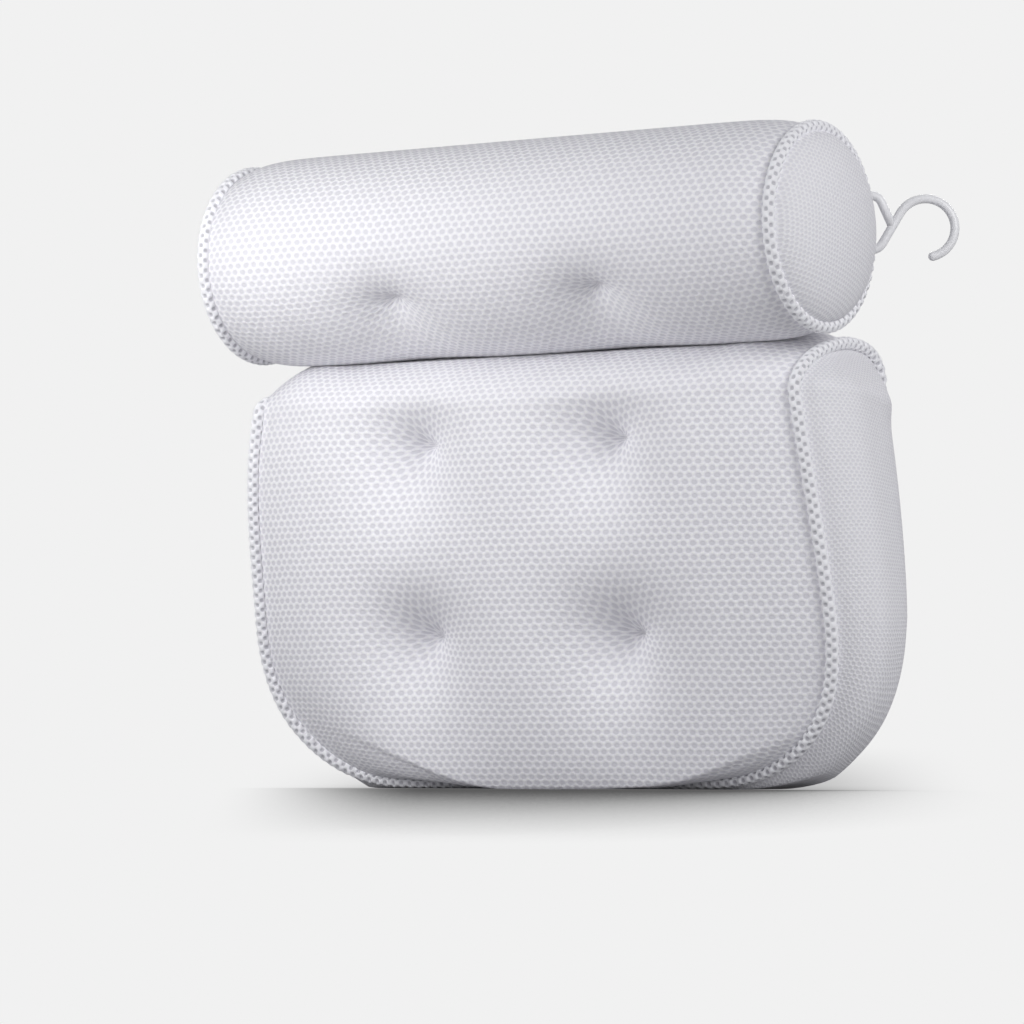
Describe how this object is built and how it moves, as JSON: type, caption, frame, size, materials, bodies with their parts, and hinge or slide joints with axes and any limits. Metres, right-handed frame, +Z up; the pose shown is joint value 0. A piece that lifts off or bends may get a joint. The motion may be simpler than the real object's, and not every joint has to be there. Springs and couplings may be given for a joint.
{
  "type": "bath pillow",
  "caption": "Bath pillow of white spacer mesh: boxed tufted back pad with a round headrest bolster folded on to its top, suction cups behind and a drying hook",
  "frame": {"origin": "middle of the flat base that the back pad stands on", "axes": "+X along the bolster to the wearer's left hand seen from the front, -Y to the tufted front, +Z up"},
  "size_m": [0.4042, 0.1538, 0.3444],
  "materials": {
    "spacer_mesh": "matt open knit",
    "knitted_bead": "matt open braid",
    "fibre_core": "loose matt fibre",
    "sewing_thread": "matt",
    "vinyl_patch": "satin",
    "clear_cup": "clear gloss",
    "hook_plastic": "smooth gloss"
  },
  "bodies": {
    "back_pad": {"pad_cover_panel": "spacer_mesh", "pad_side_band": "spacer_mesh", "pad_core": "fibre_core", "pad_seam_bead": "knitted_bead", "fold_strip_pad_leaf": "spacer_mesh", "pad_tuft_tie_1": "sewing_thread", "pad_cup_patch_1": "vinyl_patch", "pad_tuft_tie_2": "sewing_thread", "pad_cup_patch_2": "vinyl_patch", "pad_tuft_tie_3": "sewing_thread", "pad_cup_patch_3": "vinyl_patch", "pad_tuft_tie_4": "sewing_thread", "pad_cup_patch_4": "vinyl_patch"},
    "headrest": {"headrest_cover": "spacer_mesh", "headrest_end_panel_left": "spacer_mesh", "headrest_end_panel_right": "spacer_mesh", "headrest_seam_bead_left": "knitted_bead", "headrest_seam_bead_right": "knitted_bead", "headrest_core": "fibre_core", "fold_strip_headrest_leaf": "spacer_mesh", "hook_tab": "knitted_bead", "headrest_tuft_tie_1": "sewing_thread", "headrest_cup_patch_1": "vinyl_patch", "headrest_tuft_tie_2": "sewing_thread", "headrest_cup_patch_2": "vinyl_patch"},
    "pad_suction_cup_1": {"pad_suction_cup_1": "clear_cup"},
    "pad_suction_cup_2": {"pad_suction_cup_2": "clear_cup"},
    "pad_suction_cup_3": {"pad_suction_cup_3": "clear_cup"},
    "pad_suction_cup_4": {"pad_suction_cup_4": "clear_cup"},
    "headrest_suction_cup_1": {"headrest_suction_cup_1": "clear_cup"},
    "headrest_suction_cup_2": {"headrest_suction_cup_2": "clear_cup"},
    "drying_hook": {"drying_hook": "hook_plastic"}
  },
  "joints": [
    {"name": "headrest_fold", "type": "hinge", "parent": "back_pad", "child": "headrest", "pos_m": [0, 0.001, 0.237], "axis": [-1, 0, 0], "range_deg": [0, 40]},
    {"name": "hook_swing", "type": "hinge", "parent": "headrest", "child": "drying_hook", "pos_m": [0.1603, 0.03, 0.2925], "axis": [0, 0, 1], "range_deg": [-30, 60]},
    {"name": "pad_cup_1_turn", "type": "hinge", "parent": "back_pad", "child": "pad_suction_cup_1", "pos_m": [-0.06297, 0.04003, 0.081], "axis": [0, 1, 0], "continuous": true},
    {"name": "pad_cup_2_turn", "type": "hinge", "parent": "back_pad", "child": "pad_suction_cup_2", "pos_m": [-0.05965, 0.047, 0.181], "axis": [0, 1, 0], "continuous": true},
    {"name": "pad_cup_3_turn", "type": "hinge", "parent": "back_pad", "child": "pad_suction_cup_3", "pos_m": [0.06297, 0.04003, 0.081], "axis": [0, 1, 0], "continuous": true},
    {"name": "pad_cup_4_turn", "type": "hinge", "parent": "back_pad", "child": "pad_suction_cup_4", "pos_m": [0.05965, 0.047, 0.181], "axis": [0, 1, 0], "continuous": true},
    {"name": "headrest_cup_1_turn", "type": "hinge", "parent": "headrest", "child": "headrest_suction_cup_1", "pos_m": [-0.063, 0.00643, 0.32112], "axis": [0, 0.766, 0.6428], "continuous": true},
    {"name": "headrest_cup_2_turn", "type": "hinge", "parent": "headrest", "child": "headrest_suction_cup_2", "pos_m": [0.063, 0.00643, 0.32112], "axis": [0, 0.766, 0.6428], "continuous": true}
  ]
}
